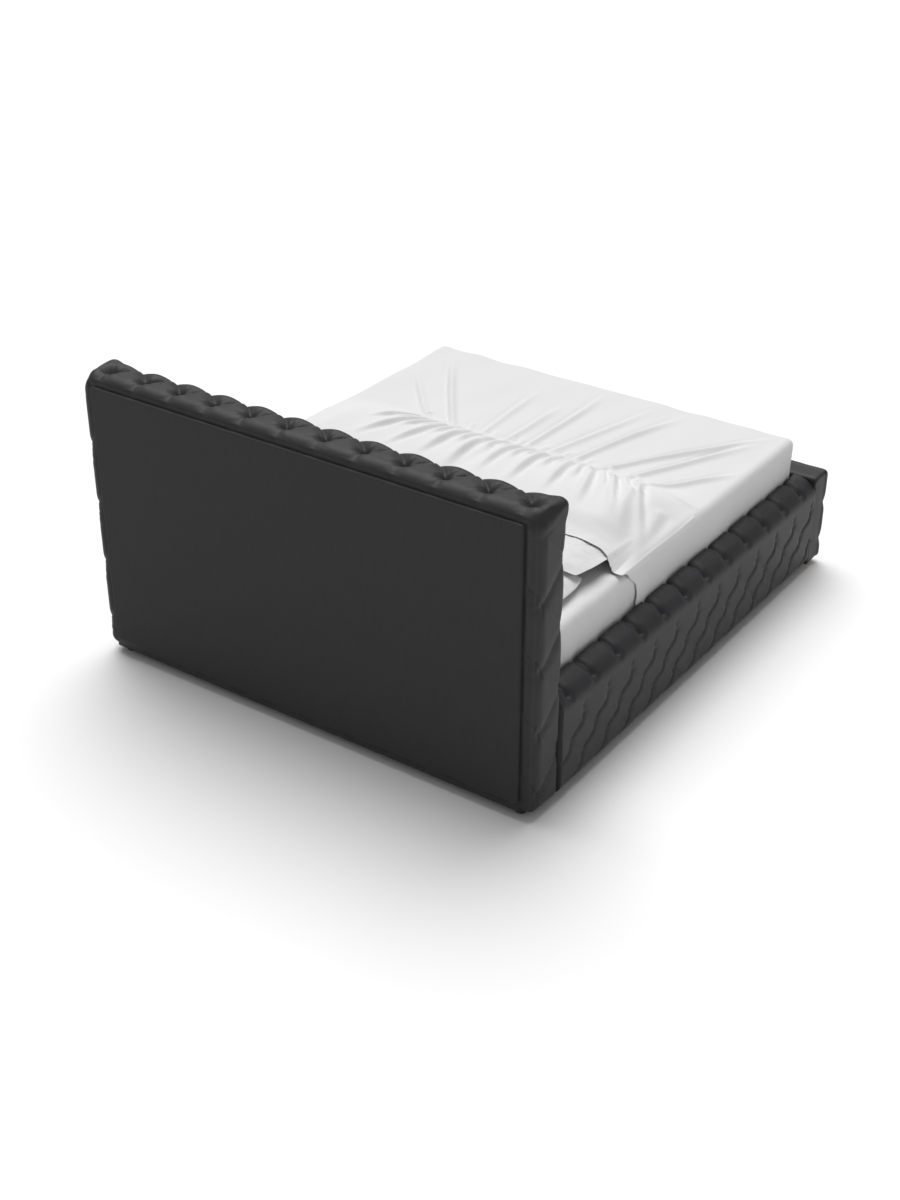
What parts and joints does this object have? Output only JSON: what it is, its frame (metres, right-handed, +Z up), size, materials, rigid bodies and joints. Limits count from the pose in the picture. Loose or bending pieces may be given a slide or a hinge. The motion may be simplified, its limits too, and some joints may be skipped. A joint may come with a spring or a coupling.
{
  "type": "upholstered bed",
  "caption": "Straight platform bed with a tall diamond-tufted headboard, tufted side rails and a block footboard, shown with mattress, pillows and a white cover.",
  "frame": {"origin": "on the floor at the centre of the bed's footprint", "axes": "+Z up, +Y along the bed towards the headboard, +X towards the right-hand rail seen from the foot"},
  "size_m": [2.032, 2.3204, 1.195],
  "materials": {
    "velvet": "dark charcoal brushed velvet",
    "back_cloth": "dark charcoal flat woven cloth",
    "foam": "open-cell upholstery foam",
    "pine": "planed unfinished pine",
    "fibreboard": "raw fibreboard",
    "zinc_steel": "bright zinc plated",
    "nylon": "black moulded nylon",
    "white_cotton": "plain woven white cotton",
    "mattress_ticking": "knitted mattress ticking"
  },
  "bodies": {
    "root": {"bed_cover": "white_cotton", "centre_beam": "pine", "centre_leg_1": "pine", "centre_leg_2": "pine", "fitted_sheet": "white_cotton", "foot_bracket_bolt_left": "zinc_steel", "foot_bracket_bolt_right": "zinc_steel", "foot_bracket_left": "zinc_steel", "foot_bracket_right": "zinc_steel", "foot_glide_left": "nylon", "foot_glide_right": "nylon", "footboard_core": "pine", "footboard_cover": "velvet", "footboard_outer_foam": "foam", "footboard_top_foam": "foam", "head_bracket_bolt_left": "zinc_steel", "head_bracket_bolt_right": "zinc_steel", "head_bracket_left": "zinc_steel", "head_bracket_right": "zinc_steel", "head_glide_left": "nylon", "head_glide_right": "nylon", "headboard_back_panel": "back_cloth", "headboard_bottom_foam": "foam", "headboard_bottom_frame_rail": "pine", "headboard_cover": "velvet", "headboard_end_foam_left": "foam", "headboard_end_foam_right": "foam", "headboard_front_board": "fibreboard", "headboard_front_foam": "foam", "headboard_mounting_board": "pine", "headboard_post_left": "pine", "headboard_post_right": "pine", "headboard_top_foam": "foam", "headboard_top_frame_rail": "pine", "lower_pillow_left": "white_cotton", "lower_pillow_right": "white_cotton", "mattress": "mattress_ticking", "side_rail_core_left": "pine", "side_rail_core_right": "pine", "side_rail_cover_left": "velvet", "side_rail_cover_right": "velvet", "side_rail_foam_left": "foam", "side_rail_foam_right": "foam", "slat_01": "pine", "slat_02": "pine", "slat_03": "pine", "slat_04": "pine", "slat_05": "pine", "slat_06": "pine", "slat_07": "pine", "slat_08": "pine", "slat_09": "pine", "slat_10": "pine", "slat_11": "pine", "slat_12": "pine", "slat_ledger_left": "pine", "slat_ledger_right": "pine", "upper_pillow_left": "white_cotton", "upper_pillow_right": "white_cotton"}
  },
  "joints": []
}
